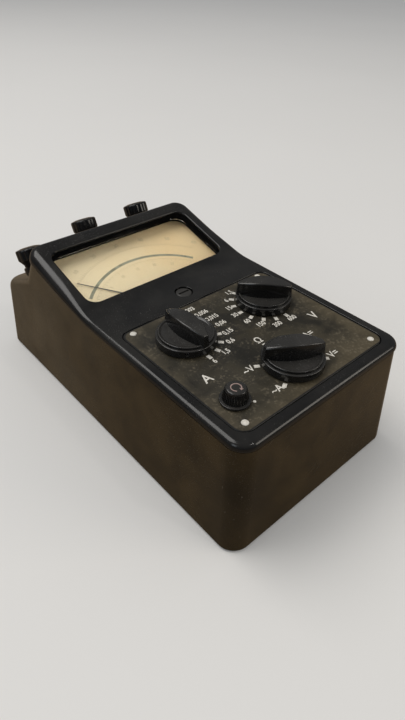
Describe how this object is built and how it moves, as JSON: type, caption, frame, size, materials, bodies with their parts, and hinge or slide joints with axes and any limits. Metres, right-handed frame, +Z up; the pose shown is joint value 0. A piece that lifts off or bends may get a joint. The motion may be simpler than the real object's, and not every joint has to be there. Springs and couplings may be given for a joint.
{
  "type": "analog multimeter",
  "caption": "Portable moving-coil multimeter in a dark moulded case: sloping dial head, rotary range knobs on a flat panel, screw terminals on a ledge behind.",
  "frame": {"origin": "centre of the base, on the surface that the feet stand on", "axes": "+Z up, +Y from the knobs towards the dial and the terminals, +X to the right of a reader of the dial"},
  "size_m": [0.1178, 0.2148, 0.0805],
  "materials": {
    "bakelite": "gloss black phenolic moulding with fine scratches",
    "case_bakelite": "brown-black phenolic moulding, scuffed",
    "panel": "worn dark olive panel with off-white print",
    "scale": "aged ivory scale",
    "glass": "flat clear glass",
    "steel": "plain steel",
    "brass": "dull brass",
    "copper": "enamelled copper winding",
    "iron": "soft iron and magnet steel",
    "aluminium": "plain aluminium",
    "pointer": "matt black pointer",
    "rubber": "moulded rubber",
    "phenolic": "brown paper laminate",
    "cell": "plain cell jacket"
  },
  "bodies": {
    "root": {"battery_cell": "cell", "battery_cover": "bakelite", "battery_cradle": "phenolic", "bottom_bridge": "brass", "bottom_plate": "bakelite", "case_body": "case_bakelite", "circuit_board": "phenolic", "current_switch_frame": "steel", "current_switch_wafer": "phenolic", "front_left_case_screw": "steel", "front_left_foot": "rubber", "front_right_case_screw": "steel", "front_right_foot": "rubber", "function_switch_frame": "steel", "function_switch_wafer": "phenolic", "iron_core": "iron", "left_pole_piece": "iron", "left_terminal_collar": "bakelite", "left_terminal_stud": "brass", "magnet": "iron", "middle_terminal_collar": "bakelite", "middle_terminal_stud": "brass", "movement_bracket": "aluminium", "negative_battery_contact": "brass", "panel_plate": "panel", "positive_battery_contact": "brass", "rear_left_case_screw": "steel", "rear_left_foot": "rubber", "rear_right_case_screw": "steel", "rear_right_foot": "rubber", "right_pole_piece": "iron", "right_terminal_collar": "bakelite", "right_terminal_stud": "brass", "scale_plate": "scale", "top_bridge": "brass", "top_cover": "bakelite", "voltage_switch_frame": "steel", "voltage_switch_wafer": "phenolic", "window_glass": "glass", "zero_ohms_potentiometer": "aluminium"},
    "current_selector": {"current_knob": "bakelite", "current_switch_shaft": "steel"},
    "voltage_selector": {"voltage_knob": "bakelite", "voltage_switch_shaft": "steel"},
    "function_selector": {"function_knob": "bakelite", "function_switch_shaft": "steel"},
    "zero_ohms_control": {"zero_ohms_knob": "bakelite", "zero_ohms_shaft": "steel"},
    "zero_adjuster": {"zero_adjust_screw": "bakelite"},
    "zero_lever": {"zero_adjust_lever": "brass"},
    "movement": {"moving_coil": "copper", "pointer": "pointer", "upper_hairspring": "brass", "lower_hairspring": "brass"},
    "left_insert": {"left_terminal_insert": "brass"},
    "left_cap": {"left_terminal_cap": "bakelite"},
    "middle_insert": {"middle_terminal_insert": "brass"},
    "middle_cap": {"middle_terminal_cap": "bakelite"},
    "right_insert": {"right_terminal_insert": "brass"},
    "right_cap": {"right_terminal_cap": "bakelite"}
  },
  "joints": [
    {"name": "current_selector_turn", "type": "hinge", "parent": "root", "child": "current_selector", "pos_m": [-0.0263, -0.0365, 0.0653], "axis": [0, 0, 1], "range_deg": [0, 157.5]},
    {"name": "voltage_selector_turn", "type": "hinge", "parent": "root", "child": "voltage_selector", "pos_m": [0.0263, -0.0365, 0.0653], "axis": [0, 0, 1], "range_deg": [-22.5, 135]},
    {"name": "function_selector_turn", "type": "hinge", "parent": "root", "child": "function_selector", "pos_m": [0, -0.0796, 0.0653], "axis": [0, 0, 1], "range_deg": [0, 240]},
    {"name": "zero_ohms_turn", "type": "hinge", "parent": "root", "child": "zero_ohms_control", "pos_m": [-0.037, -0.0807, 0.0653], "axis": [0, 0, 1], "range_deg": [-140, 140]},
    {"name": "zero_adjuster_turn", "type": "hinge", "parent": "root", "child": "zero_adjuster", "pos_m": [0, -0.0031, 0.0655], "axis": [0, 0, 1], "range_deg": [-30, 30]},
    {"name": "zero_lever_turn", "type": "hinge", "parent": "root", "child": "zero_lever", "pos_m": [0, -0.00162, 0.06269], "axis": [0, -0.2672, 0.9636], "range_deg": [-12, 12]},
    {"name": "movement_swing", "type": "hinge", "parent": "root", "child": "movement", "pos_m": [0, -0.00162, 0.06269], "axis": [0, 0.2672, -0.9636], "range_deg": [0, 90], "stiffness_Nm_per_rad": 0.0005},
    {"name": "left_cap_lift", "type": "slide", "parent": "root", "child": "left_insert", "axis": [0, 0.4195, 0.9078], "range_m": [0, 0.0064]},
    {"name": "left_cap_turn", "type": "hinge", "parent": "left_insert", "child": "left_cap", "pos_m": [-0.0405, 0.0899, 0.05099], "axis": [0, 0.4195, 0.9078], "range_deg": [0, 2880]},
    {"name": "middle_cap_lift", "type": "slide", "parent": "root", "child": "middle_insert", "axis": [0, 0.4195, 0.9078], "range_m": [-0.0064, 0]},
    {"name": "middle_cap_turn", "type": "hinge", "parent": "middle_insert", "child": "middle_cap", "pos_m": [0, 0.0899, 0.05099], "axis": [0, 0.4195, 0.9078], "range_deg": [-2880, 0]},
    {"name": "right_cap_lift", "type": "slide", "parent": "root", "child": "right_insert", "axis": [0, 0.4195, 0.9078], "range_m": [-0.0064, 0]},
    {"name": "right_cap_turn", "type": "hinge", "parent": "right_insert", "child": "right_cap", "pos_m": [0.0405, 0.0899, 0.05099], "axis": [0, 0.4195, 0.9078], "range_deg": [-2880, 0]}
  ],
  "couplings": [
    {"joint": "zero_lever_turn", "follows": "zero_adjuster_turn", "ratio": 0.37281},
    {"joint": "left_cap_turn", "follows": "left_cap_lift", "rad_per_m": 7854},
    {"joint": "middle_cap_turn", "follows": "middle_cap_lift", "rad_per_m": 7854},
    {"joint": "right_cap_turn", "follows": "right_cap_lift", "rad_per_m": 7854}
  ]
}
